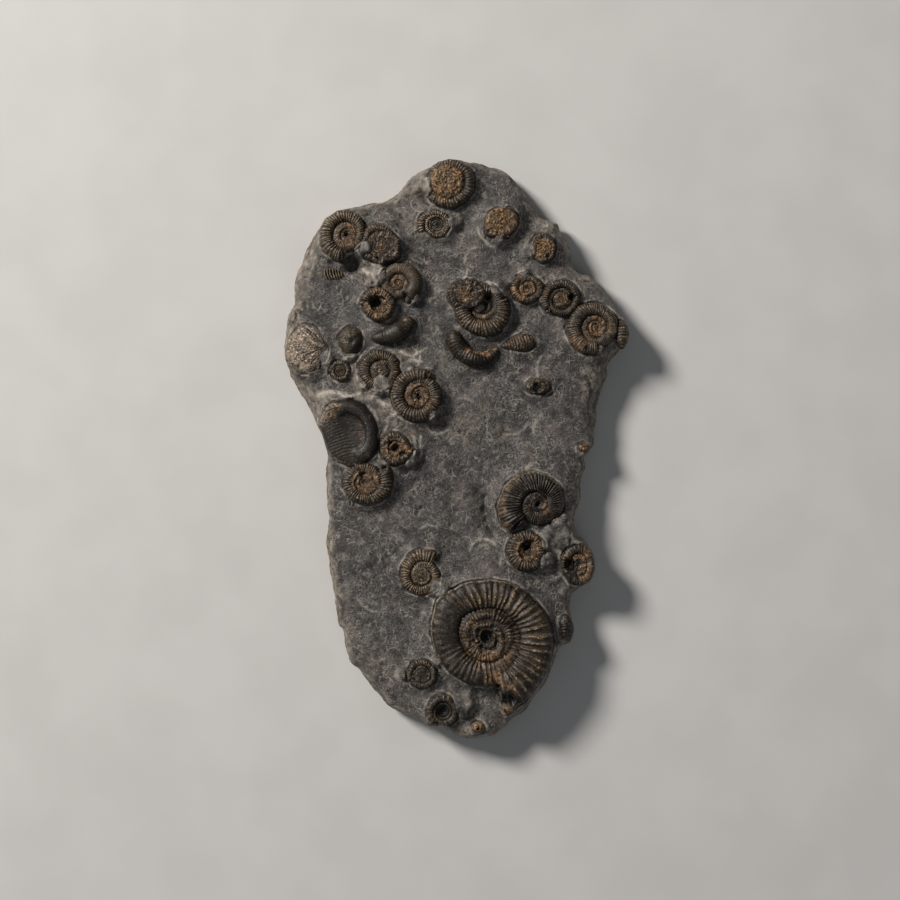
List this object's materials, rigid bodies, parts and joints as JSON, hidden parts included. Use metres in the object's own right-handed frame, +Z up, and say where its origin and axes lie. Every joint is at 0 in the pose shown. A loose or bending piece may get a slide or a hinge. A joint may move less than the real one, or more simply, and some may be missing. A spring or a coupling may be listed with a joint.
{
  "type": "ammonite cluster plate",
  "caption": "Slab of dark grey limestone lying flat, with coiled ribbed ammonites and broken shell standing out of its upper face; a natural fossil display piece",
  "frame": {"origin": "on the flat back, in the middle of the outline's bounding box", "axes": "+Z up out of the fossil face, +Y along the slab's length towards the narrower end with a single ammonite, +X to its right"},
  "size_m": [0.225, 0.379, 0.0418],
  "materials": {
    "matrix": "matt dark grey limestone, mottled, with pale specks and fine scratches",
    "dark_shell": "dark brown to black fossil shell with a faint satin gloss on its ribs",
    "golden_shell": "golden brown granular calcite with dark grooves",
    "worn_shell": "worn shell faded to grey and cream"
  },
  "bodies": {
    "root": {"ammonite_01": "golden_shell", "ammonite_02": "dark_shell", "ammonite_03": "golden_shell", "ammonite_04": "golden_shell", "ammonite_05": "dark_shell", "ammonite_06": "dark_shell", "ammonite_07": "golden_shell", "ammonite_08": "dark_shell", "ammonite_09": "dark_shell", "ammonite_10": "dark_shell", "ammonite_11": "dark_shell", "ammonite_12": "dark_shell", "ammonite_13": "dark_shell", "ammonite_14": "dark_shell", "ammonite_15": "worn_shell", "ammonite_16": "dark_shell", "ammonite_17": "dark_shell", "ammonite_18": "worn_shell", "ammonite_19": "golden_shell", "ammonite_20": "dark_shell", "ammonite_21": "dark_shell", "ammonite_22": "dark_shell", "ammonite_23": "dark_shell", "ammonite_24": "golden_shell", "ammonite_25": "dark_shell", "ammonite_26": "dark_shell", "ammonite_27": "golden_shell", "ammonite_28": "dark_shell", "large_ammonite": "golden_shell", "matrix_slab": "matrix", "shell_fragment_01": "dark_shell", "shell_fragment_02": "dark_shell", "shell_fragment_03": "dark_shell", "shell_fragment_04": "worn_shell", "shell_fragment_05": "golden_shell", "shell_fragment_06": "dark_shell", "shell_fragment_07": "dark_shell", "shell_fragment_08": "worn_shell", "shell_fragment_09": "golden_shell"}
  },
  "joints": []
}
